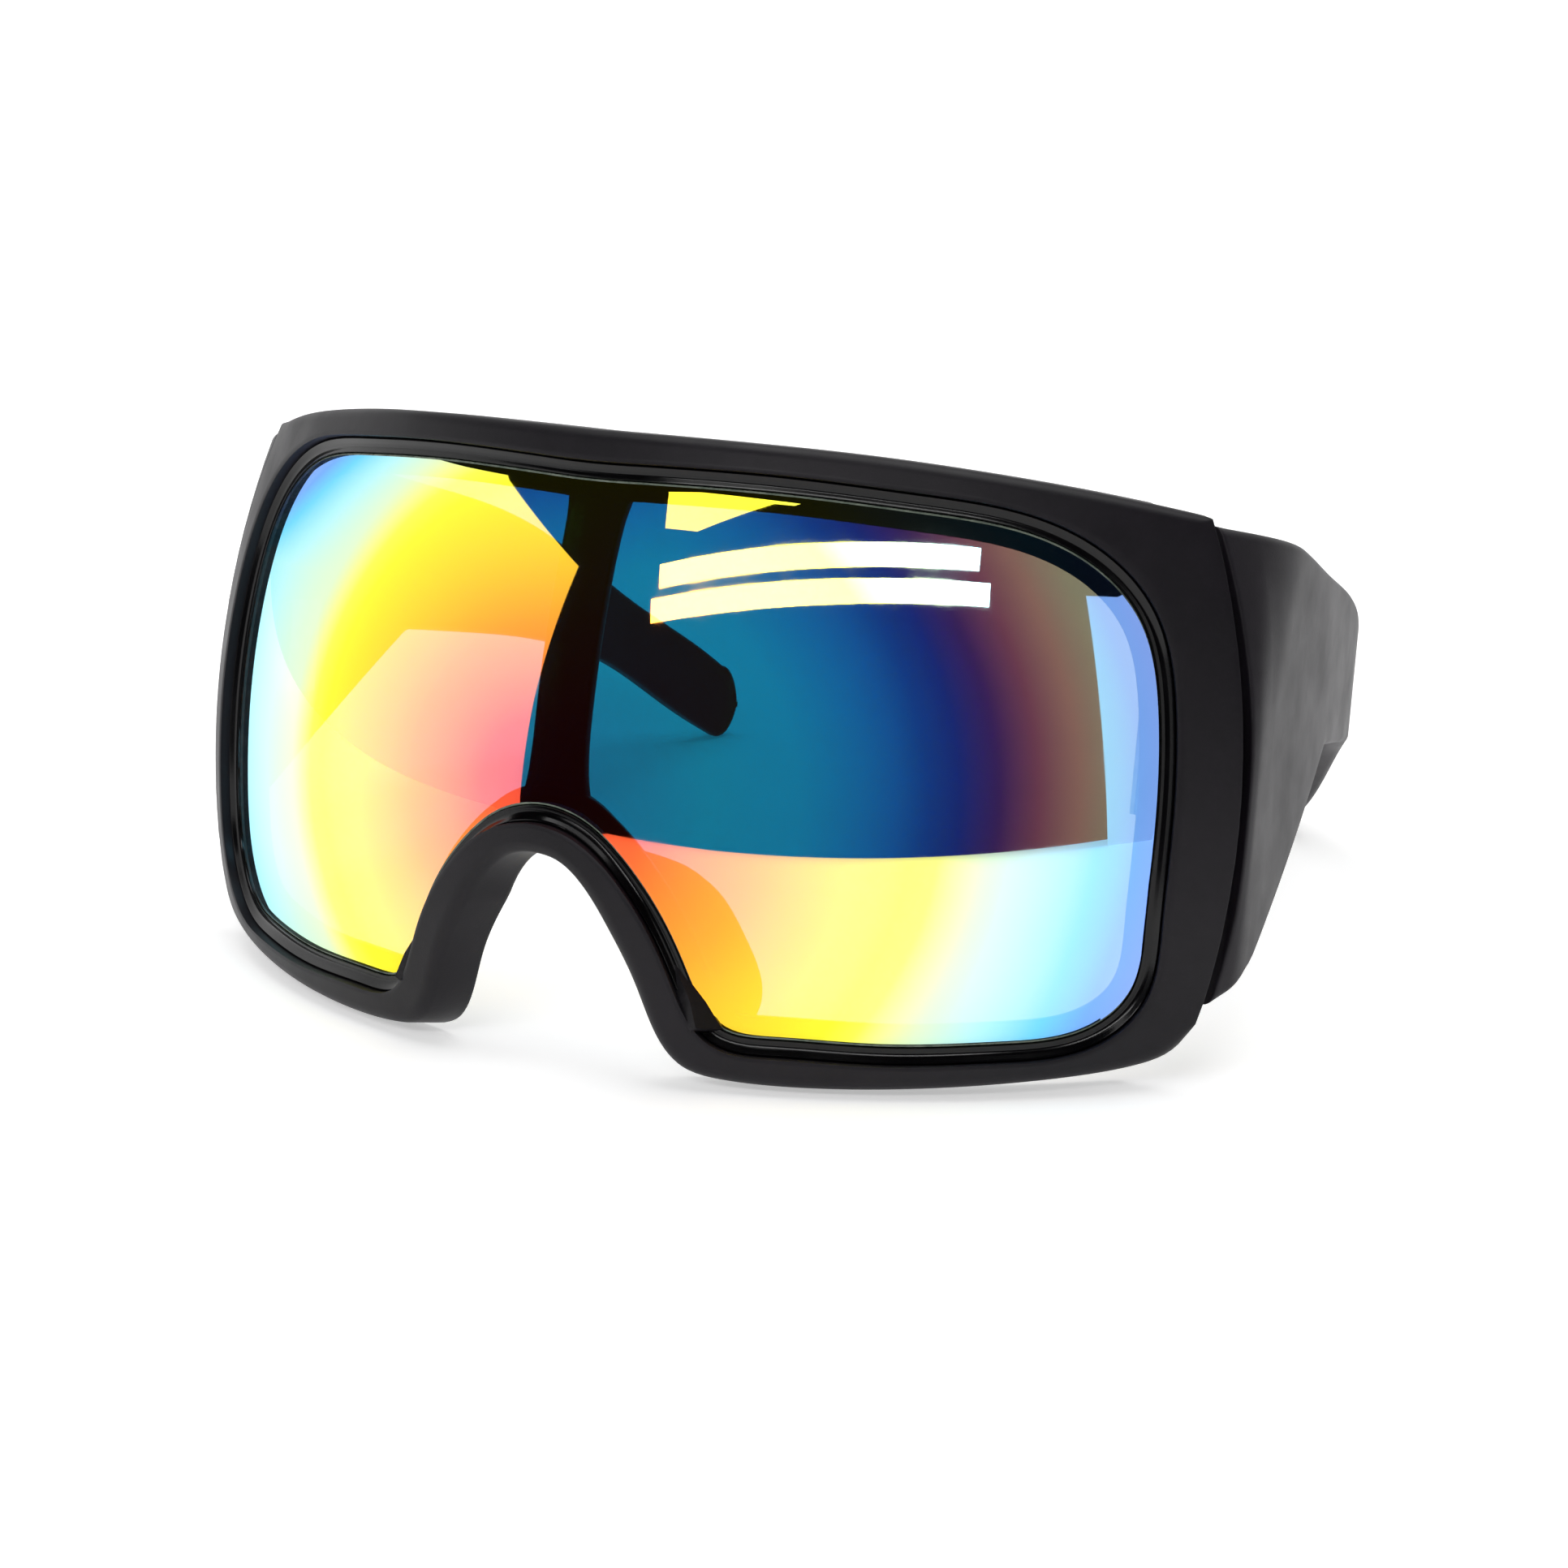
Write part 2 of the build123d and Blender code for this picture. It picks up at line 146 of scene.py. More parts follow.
def even(line, count):
    """A dense line taken at even distances."""
    d = np.concatenate([[0], np.cumsum(np.linalg.norm(np.diff(line, axis=0), axis=1))])
    x = np.linspace(0, d[-1], count)
    return np.stack([np.interp(x, d, line[:, k]) for k in range(line.shape[1])], 1)


def crown(z):
    return CROWN_RADIUS - np.sqrt(CROWN_RADIUS**2 - (np.asarray(z, float) - CROWN_Z) ** 2)


def on_shell(s, z, offset, slant=1.0):
    """Points of an outline (s, z), carried along the wall to the shell at this offset outside the lens."""
    s, z, offset = np.broadcast_arrays(np.asarray(s, float), np.asarray(z, float), np.asarray(offset, float))
    side = np.where(s < 0, -1.0, 1.0)
    a = np.abs(s) / LENS_RADIUS
    tilt = WALL_SLANT * slant * np.clip(np.abs(s) / 9, 0, 1)
    wx, wy = -np.sin(tilt), np.cos(tilt)
    x0, y0 = LENS_RADIUS * np.sin(a), -LENS_RADIUS * np.cos(a)
    rho = LENS_RADIUS + offset - crown(z)
    b = x0 * wx + y0 * wy
    t = -b - np.sqrt(b * b - LENS_RADIUS**2 + rho**2)
    x, y = x0 + t * wx, y0 + t * wy + LENS_RADIUS
    past = y > JOINT_Y
    x = np.where(past, np.sqrt(rho**2 - (LENS_RADIUS - JOINT_Y) ** 2), x)
    y = np.where(past, JOINT_Y, y)
    return np.stack([side * x, y, z], -1)


def temple_station(t):
    """Plan position and heading of the temple's outer surface at distance t behind the joint."""
    t = np.asarray(t, float)
    outer = LENS_RADIUS + FACE_PROUD
    start = acos((LENS_RADIUS - JOINT_Y) / outer)
    corner = CORNER_RADIUS * (STRAIGHT_ANGLE - start)
    angle = start + np.minimum(t, corner) / CORNER_RADIUS
    x = outer * sin(start) + CORNER_RADIUS * (np.sin(angle) - sin(start))
    y = JOINT_Y + BUTT_GAP + CORNER_RADIUS * (cos(start) - np.cos(angle))
    bends = ((corner, HOOK_START, BOW_RADIUS), (HOOK_START, 2 * TEMPLE_LENGTH, HOOK_RADIUS))
    for begin, end, radius in bends:
        bend = np.maximum(np.minimum(t, end) - begin, 0) / radius
        x = x + radius * (np.sin(angle + bend) - np.sin(angle))
        y = y + radius * (np.cos(angle) - np.cos(angle + bend))
        angle = angle + bend
    return x, y, angle


def fold(p):
    """Turns points of the open left temple to the part folded place it has at rest."""
    dx, dy = p[..., 0] - AXIS_X, p[..., 1] - AXIS_Y
    c, s = cos(LEFT_FOLD), sin(LEFT_FOLD)
    return np.stack([AXIS_X + dx * c - dy * s, AXIS_Y + dx * s + dy * c, p[..., 2]], -1)


def to_rest(p):
    """Upright design frame in mm to the rest frame in metres."""
    c, s = cos(LEAN), sin(LEAN)
    x, y, z = p[..., 0], p[..., 1], p[..., 2]
    return np.stack([x, y * c + z * s - REST_LINE_Y, z * c - y * s + REST_LIFT], -1) / 1000


# ---------------------------------------------------------------- mesh making
def make_object(name, points, faces, slots, sharp=35):
    """A mesh from upright points and (indices, slot number) faces, shaded smooth up to an angle."""
    mesh = bpy.data.meshes.new(name)
    mesh.from_pydata(to_rest(np.asarray(points)).tolist(), [], [f for f, _ in faces])
    for material in slots:
        mesh.materials.append(material)
    mesh.polygons.foreach_set("material_index", [m for _, m in faces])
    mesh.polygons.foreach_set("use_smooth", [True] * len(faces))
    mesh.update()
    mesh.validate()
    mesh.set_sharp_from_angle(angle=radians(sharp))
    piece = bpy.data.objects.new(name, mesh)
    bpy.context.scene.collection.objects.link(piece)
    return piece


def grid_faces(rows, columns, close_rows=True, close_columns=True):
    """Quads over rows x columns points, wrapped either way, all in slot 0."""
    faces = []
    for i in range(rows if close_rows else rows - 1):
        for j in range(columns if close_columns else columns - 1):
            a, b = i * columns + j, i * columns + (j + 1) % columns
            c, d = (i + 1) % rows * columns + (j + 1) % columns, (i + 1) % rows * columns + j
            faces.append(([a, b, c, d], 0))
    return faces


def capped_tube(rows, ring):
    """Faces of rows of closed rings, with the first and the last ring filled."""
    first, last = list(range(ring))[::-1], list(range((rows - 1) * ring, rows * ring))
    return grid_faces(rows, ring, close_rows=False) + [(first, 0), (last, 0)]


def outwards(points, faces):
    """True if the faces' normals point out, by the sign of the volume."""
    p = np.asarray(points)
    total = 0.0
    for f, _ in faces:
        for k in range(1, len(f) - 1):
            total += np.dot(p[f[0]], np.cross(p[f[k]], p[f[k + 1]]))
    return total > 0


def solid(name, points, faces, slots, sharp=35):
    if not outwards(points, faces):
        faces = [(f[::-1], m) for f, m in faces]
    return make_object(name, points, faces, slots, sharp)


def mirrored(points):
    return np.asarray(points) * [-1, 1, 1]


# ---------------------------------------------------------------- matched outlines of the lens and the front
half_lens = np.array(LENS_LINE, float)
whole_lens = np.vstack([half_lens, half_lens[-2:0:-1] * [-1, 1], half_lens[:1]])
lens_dense = spline(whole_lens, 6000, periodic=True)
arch_top = int(np.argmin(np.linalg.norm(lens_dense - half_lens[-1], axis=1)))
lens_half = lens_dense[: arch_top + 1]
top_dense = spline(FRONT_TOP, 800, ends=((1.5, 0.0), None))
low_dense = spline(FRONT_LOW, 2400, ends=(None, (-1.5, 0.0)))


def cut_at(line, targets):
    """Splits a dense line at its nearest points to the targets."""
    places = [int(np.argmin(np.linalg.norm(line - np.array(t), axis=1))) for t in targets]
    stops = [0, *places, len(line) - 1]
    return [line[a : b + 1] for a, b in zip(stops[:-1], stops[1:])]


def joint_s(z):
    """Where an outline meets the joint plane on the face, at height z."""
    s = np.linspace(60, 89, 600)
    y = on_shell(s, z, FACE_PROUD)[:, 1]
    return float(s[np.argmax(y > JOINT_Y - 1e-6)])


top_corner = next(i for i, (s, z) in enumerate(top_dense) if s >= joint_s(z))
low_corner = next(i for i, (s, z) in enumerate(low_dense) if s <= joint_s(z) and z < 14)
joint_z = np.linspace(top_dense[top_corner, 1], low_dense[low_corner, 1], 120)
joint_line = np.array([(joint_s(z), z) for z in joint_z])
low_rest = low_dense[low_corner:]
toe = int(np.argmin(np.linalg.norm(low_rest - np.array([20.2, -1.0]), axis=1)))
inner_parts = cut_at(lens_half, [(64.0, 54.3), (66.0, 9.6), (22.9, 4.4)])
outer_parts = [top_dense[: top_corner + 1], joint_line, low_rest[: toe + 1], low_rest[toe:]]
COUNTS = (70, 44, 60, 44)


def joined(parts):
    """One line of the parts end to end, each with its own count of even points."""
    pieces = [even(part, n) for part, n in zip(parts, COUNTS)]
    return np.vstack([pieces[0]] + [piece[1:] for piece in pieces[1:]])


def whole(line):
    """The closed line of one half and its mirror image."""
    return np.vstack([line, line[-2:0:-1] * [-1, 1]])


def outward(line, wide=1):
    """Unit normals of a closed line, pointing away from its inside."""
    ahead, behind = np.roll(line, -wide, 0), np.roll(line, wide, 0)
    d = ahead - behind
    n = np.stack([-d[:, 1], d[:, 0]], 1)
    return n / np.linalg.norm(n, axis=1)[:, None]


inner = whole(joined(inner_parts))
outer = whole(joined(outer_parts))
inner_out = outward(inner, 2)
outer_in = -outward(outer, 1)
near_joint = np.zeros(sum(COUNTS) - len(COUNTS) + 1)
first = COUNTS[0] - 1
near_joint[first : first + COUNTS[1]] = 1
for _ in range(3):
    near_joint = np.convolve(np.pad(near_joint, 1, mode="edge"), [0.25, 0.5, 0.25], mode="valid")
near_joint = np.concatenate([near_joint, near_joint[-2:0:-1]])

section_rows = []


def row(line, offset):
    section_rows.append(on_shell(line[:, 0], line[:, 1], offset))


edge_r = FACE_EDGE_RADIUS * (1 - near_joint) + JOINT_FACE_RADIUS * near_joint
back_r = BACK_EDGE_RADIUS * (1 - near_joint) + JOINT_BACK_RADIUS * near_joint
row(inner - inner_out * LEDGE_WIDTH, -BACK_DEPTH + 0.5)
row(inner - inner_out * LEDGE_WIDTH, -SEAT_DEPTH - LEDGE_CHAMFER)
row(inner - inner_out * (LEDGE_WIDTH - LEDGE_CHAMFER), -SEAT_DEPTH)
row(inner + inner_out * RECESS_WIDTH, -SEAT_DEPTH)
row(inner + inner_out * RECESS_WIDTH, FACE_PROUD - RECESS_EDGE)
row(inner + inner_out * (RECESS_WIDTH + 0.12), FACE_PROUD - 0.13)
face_in = inner + inner_out * (RECESS_WIDTH + RECESS_EDGE)
row(face_in, FACE_PROUD)
face_out = outer + outer_in * edge_r[:, None]
for w in np.linspace(0, 1, 10)[1:-1]:
    row(face_in * (1 - w) + face_out * w, FACE_PROUD)
for turn in np.radians([0, 18, 36, 54, 72, 90]):
    row(outer + outer_in * (edge_r * (1 - np.sin(turn)))[:, None], FACE_PROUD - edge_r * (1 - np.cos(turn)))
for turn in np.radians([0, 30, 60, 90]):
    row(outer + outer_in * (back_r * (1 - np.cos(turn)))[:, None], -BACK_DEPTH + back_r * (1 - np.sin(turn)))
back_out = outer + outer_in * back_r[:, None]
back_in = inner - inner_out * (LEDGE_WIDTH - 0.5)
for w in np.linspace(0, 1, 8)[1:]:
    row(back_out * (1 - w) + back_in * w, -BACK_DEPTH)
row(inner - inner_out * (LEDGE_WIDTH - LEDGE_CHAMFER), -BACK_DEPTH + LEDGE_CHAMFER)
front_points = np.concatenate(section_rows)
front_rows = len(section_rows)

# ---------------------------------------------------------------- materials
def colour(r, g, b):
    """Linear colour of 8 bit display values."""
    parts = [c / 255 for c in (r, g, b)]
    return tuple(c / 12.92 if c <= 0.04 else ((c + 0.055) / 1.055) ** 2.4 for c in parts) + (1,)


class Tree:
    """Short calls for building one material's nodes."""

    def __init__(self, name):
        self.material = bpy.data.materials.new(name)
        self.material.use_nodes = True
        self.nodes, self.links = self.material.node_tree.nodes, self.material.node_tree.links
        self.nodes.clear()
        self.output = self.nodes.new("ShaderNodeOutputMaterial")

    def add(self, kind, settings=None, **inputs):
        node = self.nodes.new("ShaderNode" + kind)
        for key, value in (settings or {}).items():
            setattr(node, key, value)
        for key, value in inputs.items():
            self.put(node.inputs[key.replace("_", " ")], value)
        return node

    def put(self, socket, value):
        if isinstance(value, bpy.types.NodeSocket):
            self.links.new(value, socket)
        else:
            socket.default_value = value

    def math(self, operation, *values):
        node = self.add("Math", {"operation": operation})
        for socket, value in zip(node.inputs, values):
            self.put(socket, value)
        return node.outputs[0]

    def dot(self, vector, way):
        node = self.add("VectorMath", {"operation": "DOT_PRODUCT"})
        self.put(node.inputs[0], vector)
        node.inputs[1].default_value = way
        return node.outputs["Value"]

    def noise(self, vector, scale, detail=3.0):
        node = self.add("TexNoise", None, Vector=vector, Scale=scale, Detail=detail, Roughness=0.55)
        return node.outputs[0]

    def ramp(self, value, stops):
        node = self.add("ValToRGB", None, Fac=value)
        elements = node.color_ramp.elements
        while len(elements) < len(stops):
            elements.new(0.5)
        for element, (place, tint) in zip(elements, sorted(stops)):
            element.position = place
        for element, (place, tint) in zip(elements, sorted(stops)):
            element.color = tint
        return node.outputs[0]

    def span(self, value, low, high, to_low, to_high):
        node = self.add("MapRange")
        for socket, number in zip(node.inputs, (value, low, high, to_low, to_high)):
            self.put(socket, number)
        return node.outputs[0]

    def done(self, shader):
        self.links.new(shader, self.output.inputs["Surface"])
        return self.material


def position(tree):
    return tree.add("TexCoord").outputs["Object"]


def make_plastic(name, dark, light, rough_low, rough_high, grain=0.00002, specular=0.26):
    """Moulded plastic: fine spark-eroded grain, slow change of tone and gloss, paler worn edges."""
    tree = Tree(name)
    place = position(tree)
    slow = tree.noise(place, 38.0, 3.0)
    cloud = tree.noise(place, 420.0, 4.0)
    tone = tree.math("ADD", tree.math("MULTIPLY", slow, 0.65), tree.math("MULTIPLY", cloud, 0.35))
    base = tree.ramp(tone, [(0.3, dark), (0.72, light)])
    sharpness = tree.add("NewGeometry").outputs["Pointiness"]
    worn = tree.ramp(sharpness, [(0.53, (0, 0, 0, 1)), (0.62, (1, 1, 1, 1))])
    scuff = tree.span(tree.noise(place, 1400.0, 3.0), 0.45, 0.75, 0.0, 0.5)
    wear = tree.math("MULTIPLY", worn, scuff)
    mixed = tree.add("Mix", {"data_type": "RGBA"})
    tree.put(mixed.inputs[0], wear)
    tree.put(mixed.inputs[6], base)
    tree.put(mixed.inputs[7], tuple(min(1, 2.6 * c + 0.01) for c in light[:3]) + (1,))
    patches = tree.noise(place, 95.0, 4.0)
    gloss = tree.span(patches, 0.3, 0.7, rough_low, rough_high)
    fine = tree.noise(place, 5200.0, 2.0)
    coarse = tree.noise(place, 900.0, 2.0)
    height = tree.math("ADD", fine, tree.math("MULTIPLY", coarse, 0.6))
    bump = tree.add("Bump", None, Strength=0.55, Distance=grain, Height=height)
    shader = tree.add("BsdfPrincipled", None, Roughness=gloss, Normal=bump.outputs[0])
    tree.put(shader.inputs["Base Color"], mixed.outputs[2])
    shader.inputs["Specular IOR Level"].default_value = specular
    return tree.done(shader.outputs[0])


def make_steel(name, dark, light, rough, turned=False):
    """Small steel parts: drawn or turned streaks, slight tarnish."""
    tree = Tree(name)
    place = position(tree)
    stretch = tree.add("Mapping", None, Vector=place)
    stretch.inputs["Scale"].default_value = (900, 900, 9000) if turned else (9000, 2500, 500)
    streak = tree.noise(stretch.outputs[0], 1.0, 3.0)
    tarnish = tree.noise(place, 700.0, 4.0)
    tone = tree.math("MULTIPLY", tree.math("ADD", streak, tarnish), 0.5)
    base = tree.ramp(tone, [(0.35, dark), (0.65, light)])
    gloss = tree.span(streak, 0.3, 0.7, rough, rough + 0.16)
    bump = tree.add("Bump", None, Strength=0.4, Distance=0.000015, Height=streak)
    shader = tree.add("BsdfPrincipled", None, Base_Color=base, Roughness=gloss, Normal=bump.outputs[0])
    shader.inputs["Metallic"].default_value = 1.0
    return tree.done(shader.outputs[0])


MIRROR_STOPS = [
    (2, (236, 60, 20)), (8.5, (250, 84, 0)), (12, (254, 112, 0)), (16, (254, 136, 0)),
    (20, (254, 158, 0)), (24, (254, 182, 0)), (28.5, (254, 206, 0)), (33.5, (254, 228, 0)),
    (37, (253, 243, 10)), (40, (252, 250, 70)), (42.5, (238, 250, 150)), (45, (219, 245, 200)),
    (50.3, (172, 238, 248)), (55, (104, 208, 250)),
    (59, (112, 168, 246)), (67, (150, 160, 240)),
]
TINT_STOPS = [
    (0, (10, 96, 130)), (15, (1, 112, 142)), (24, (0, 107, 145)), (31, (1, 86, 141)), (34.7, (1, 70, 134)),
    (38.2, (0, 47, 118)), (41.9, (9, 28, 102)), (45.5, (46, 19, 75)), (49.3, (95, 49, 66)),
    (53, (120, 86, 76)), (57, (117, 112, 88)), (67, (112, 124, 104)),
]
FIELD_REACH = 75.0
FIELD_CENTRE_Z = 28.0
HARD_COAT = 0.035


def with_hard_coat(tint):
    """A coat colour with the clear hard coat's own white reflection added."""
    return tuple(min(1, part + HARD_COAT) for part in colour(*tint))


def make_mirror_lens(name):
    """Iridescent mirror coat on a tinted sheet. The coat's hue changes with distance from the nose."""
    tree = Tree(name)
    place = position(tree)
    x = tree.math("MULTIPLY", tree.dot(place, (1, 0, 0)), 1000.0)
    c, s = cos(LEAN), sin(LEAN)
    lift, line = REST_LIFT / 1000, REST_LINE_Y / 1000
    y = tree.math("MULTIPLY", tree.math("ADD", tree.dot(place, (0, c, -s)), line * c + lift * s), 1000.0)
    z = tree.math("MULTIPLY", tree.math("ADD", tree.dot(place, (0, s, c)), line * s - lift * c), 1000.0)
    angle = tree.math("ARCTAN2", x, tree.math("SUBTRACT", LENS_RADIUS, y))
    along = tree.math("MULTIPLY", angle, LENS_RADIUS)
    high = tree.math("MULTIPLY", tree.math("SUBTRACT", z, FIELD_CENTRE_Z), 1.08)
    squares = tree.math("ADD", tree.math("MULTIPLY", along, along), tree.math("MULTIPLY", high, high))
    distance = tree.math("POWER", squares, 0.5)
    to_left = tree.span(along, 0.0, 12.0, 0.0, 1.0)
    thick = tree.math("MULTIPLY", tree.span(distance, 28.0, 48.0, 3.0, 0.0), to_left)
    drawn_in = tree.math("MULTIPLY", distance, tree.span(along, 0.0, 12.0, 1.0, 0.88))
    left_reach = tree.math("SUBTRACT", drawn_in, thick)
    past = tree.math("MAXIMUM", tree.math("SUBTRACT", distance, 45.0), 0.0)
    held = tree.math("MULTIPLY", past, tree.span(z, 48.0, 62.0, 0.68, 0.0))
    right_side = tree.math("LESS_THAN", along, 0.0)
    reach = tree.math("SUBTRACT", left_reach, tree.math("MULTIPLY", held, right_side))
    uneven = tree.math("MULTIPLY", tree.math("SUBTRACT", tree.noise(place, 22.0, 2.0), 0.5), 2.4)
    field = tree.math("DIVIDE", tree.math("ADD", reach, uneven), FIELD_REACH)
    coat = tree.ramp(field, [(far / FIELD_REACH, with_hard_coat(tint)) for far, tint in MIRROR_STOPS])
    tint = tree.ramp(field, [(far / FIELD_REACH, colour(*tint)) for far, tint in TINT_STOPS])
    smear = tree.span(tree.noise(place, 160.0, 4.0), 0.45, 0.8, 0.012, 0.04)
    ripple = tree.add("Bump", None, Strength=0.04, Distance=0.00002, Height=tree.noise(place, 70.0, 1.0))
    mirror = tree.add("BsdfGlossy", None, Color=coat, Roughness=smear, Normal=ripple.outputs[0])
    sheet = tree.add("BsdfTransparent", None, Color=tint)
    both = tree.add("AddShader")
    tree.put(both.inputs[0], mirror.outputs[0])
    tree.put(both.inputs[1], sheet.outputs[0])
    return tree.done(both.outputs[0])


def make_lens_back(name):
    """The sheet's uncoated back face: clear, with a weak polished reflection and faint smears."""
    tree = Tree(name)
    place = position(tree)
    smear = tree.span(tree.noise(place, 120.0, 4.0), 0.4, 0.8, 0.02, 0.07)
    gloss = tree.add("BsdfGlossy", None, Roughness=smear)
    clear = tree.add("BsdfTransparent")
    veil = tree.span(tree.noise(place, 60.0, 3.0), 0.3, 0.8, 0.03, 0.05)
    mix = tree.add("MixShader", None, Fac=veil)
    tree.put(mix.inputs[1], clear.outputs[0])
    tree.put(mix.inputs[2], gloss.outputs[0])
    return tree.done(mix.outputs[0])


def make_lens_edge(name):
    """The lens's cut and polished edge, greenish grey."""
    tree = Tree(name)
    place = position(tree)
    cloud = tree.noise(place, 600.0, 3.0)
    tone = tree.ramp(cloud, [(0.3, colour(96, 108, 98)), (0.7, colour(140, 150, 136))])
    gloss = tree.span(tree.noise(place, 2400.0, 2.0), 0.3, 0.7, 0.22, 0.4)
    shader = tree.add("BsdfPrincipled", None, Base_Color=tone, Roughness=gloss)
    return tree.done(shader.outputs[0])


frame_black = make_plastic("matte_frame_plastic", colour(12, 10, 15), colour(22, 18, 25), 0.40, 0.52)
# The temples get a lighter copy of the frame's plastic. This is painted light: it stands in for the brighter
# light that the temple panels catch at their angle.
lit_temple_plastic = make_plastic("matte_temple_plastic_painted_light", colour(16, 13, 19), colour(28, 23, 31), 0.40, 0.52)
rim_black = make_plastic("gloss_rim_plastic", colour(2, 2, 3), colour(7, 6, 8), 0.12, 0.22, 0.000005, 0.3)
pad_black = make_plastic("nose_flange_plastic", colour(14, 13, 15), colour(24, 22, 26), 0.36, 0.5)
hinge_steel = make_steel("brushed_hinge_steel", colour(120, 118, 116), colour(190, 188, 184), 0.26)
screw_steel = make_steel("turned_screw_steel", colour(105, 103, 100), colour(205, 203, 198), 0.2, turned=True)
mirror_lens = make_mirror_lens("iridescent_mirror")
lens_edge = make_lens_edge("lens_edge")
lens_back = make_lens_back("lens_back")

# ---------------------------------------------------------------- moulded front
front_shell = solid("front_shell", front_points, grid_faces(front_rows, len(inner)), [frame_black], 40)
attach(front_shell, "front")
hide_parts("front_frame")

# ---------------------------------------------------------------- post behind the lens
post_z = np.linspace(POST_LOW, POST_HIGH, 48)
post_half = np.interp(post_z, [POST_LOW, 26, 31, 56, 61, POST_HIGH], [6.5, 4.2, 3.45, 3.45, 3.8, 5.5])
post_half = np.convolve(np.pad(post_half, 4, mode="edge"), np.ones(9) / 9, mode="valid")
post_ring = []
for way, at_front in ((-1, True), (1, True), (1, False), (-1, False)):
    for turn in np.radians([0, 30, 60, 90]):
        radius = POST_EDGE_RADIUS if at_front else POST_BACK_RADIUS
        first_side = (way < 0) == at_front
        u = 1 - np.cos(turn) if first_side else 1 - np.sin(turn)
        v = 1 - np.sin(turn) if first_side else 1 - np.cos(turn)
        offset = -SEAT_DEPTH - v * radius if at_front else -BACK_DEPTH + 0.06 + v * radius
        post_ring.append((way, u * radius, offset))
post_points = np.array([
    on_shell(way * (post_half - shrink), post_z, offset, 0.0) for way, shrink, offset in post_ring
]).transpose(1, 0, 2)
post_faces = capped_tube(len(post_z), len(post_ring))
centre_post = solid("centre_post", post_points.reshape(-1, 3), post_faces, [frame_black])
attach(centre_post, "front")

# ---------------------------------------------------------------- glossy rim between the lens and the front
fine_inner = whole(even(lens_half, 260))
fine_out = outward(fine_inner, 2)
RIM_SECTION = [
    (RIM_GAP, -LENS_THICKNESS), (RIM_GAP, 0.02), (0.2, 0.16), (0.42, 0.2), (0.62, 0.16), (0.85, 0.2),
    (1.25, 0.52), (1.55, 0.84), (1.7, 0.96), (1.82, 0.94), (RIM_WIDTH, 0.82), (RIM_WIDTH, -LENS_THICKNESS),
]
rim_lines = [(fine_inner + fine_out * out, offset) for out, offset in RIM_SECTION]
rim_points = np.concatenate([on_shell(line[:, 0], line[:, 1], offset) for line, offset in rim_lines])
gloss_rim = solid("gloss_rim", rim_points, grid_faces(len(RIM_SECTION), len(fine_inner)), [rim_black], 50)
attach(gloss_rim, "front")
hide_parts("lens_rim")

# ---------------------------------------------------------------- lens
widest_place = int(np.argmax(lens_half[:, 0]))
upper, lower = lens_half[: widest_place + 1], lens_half[widest_place:]
widest = upper[-1, 0]
steps = np.sin(np.linspace(0, 1, 150) * pi / 2) * widest
columns = np.concatenate([-steps[:0:-1], steps])
size = np.abs(columns)
top_z = np.interp(size, upper[:, 0], upper[:, 1])
low_z = np.interp(size, lower[::-1, 0], lower[::-1, 1])
blend_v = np.linspace(0, 1, 64)
heights = top_z - low_z
room = np.minimum(LENS_INSET, heights / 4)


def lens_rows(offset, chamfer):
    """One face of the lens as rows of points from its low edge to its top edge."""
    rows = [on_shell(columns, low_z, offset - chamfer)]
    for v in blend_v:
        rows.append(on_shell(columns, low_z + room + (heights - 2 * room) * v, offset))
    rows.append(on_shell(columns, top_z, offset - chamfer))
    return rows


outer_rows = lens_rows(0.0, LENS_CHAMFER)
back_rows = lens_rows(-LENS_THICKNESS, -LENS_CHAMFER)
lens_points = np.concatenate(outer_rows + back_rows[::-1])
n_rows, n_columns = len(outer_rows), len(columns)
FRONT_SLOT, EDGE_SLOT, BACK_SLOT = 0, 1, 2
edge_rows = (0, n_rows - 2, n_rows - 1, n_rows, 2 * n_rows - 2)
lens_faces = []
for quad, _ in grid_faces(2 * n_rows, n_columns, close_columns=False):
    quad_rows = [corner // n_columns for corner in quad]
    row_index = min(quad_rows)
    if max(quad_rows) - row_index > 1 or row_index in edge_rows:
        lens_faces.append((quad, EDGE_SLOT))
    else:
        lens_faces.append((quad, FRONT_SLOT if row_index < n_rows else BACK_SLOT))
for end in (0, n_columns - 1):
    loop = [k * n_columns + end for k in range(2 * n_rows)]
    lens_faces.append((loop if end == 0 else loop[::-1], EDGE_SLOT))
mirror_shield = solid("mirror_shield", lens_points, lens_faces, [mirror_lens, lens_edge, lens_back], 30)
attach(mirror_shield, "front")
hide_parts("shield_lens")

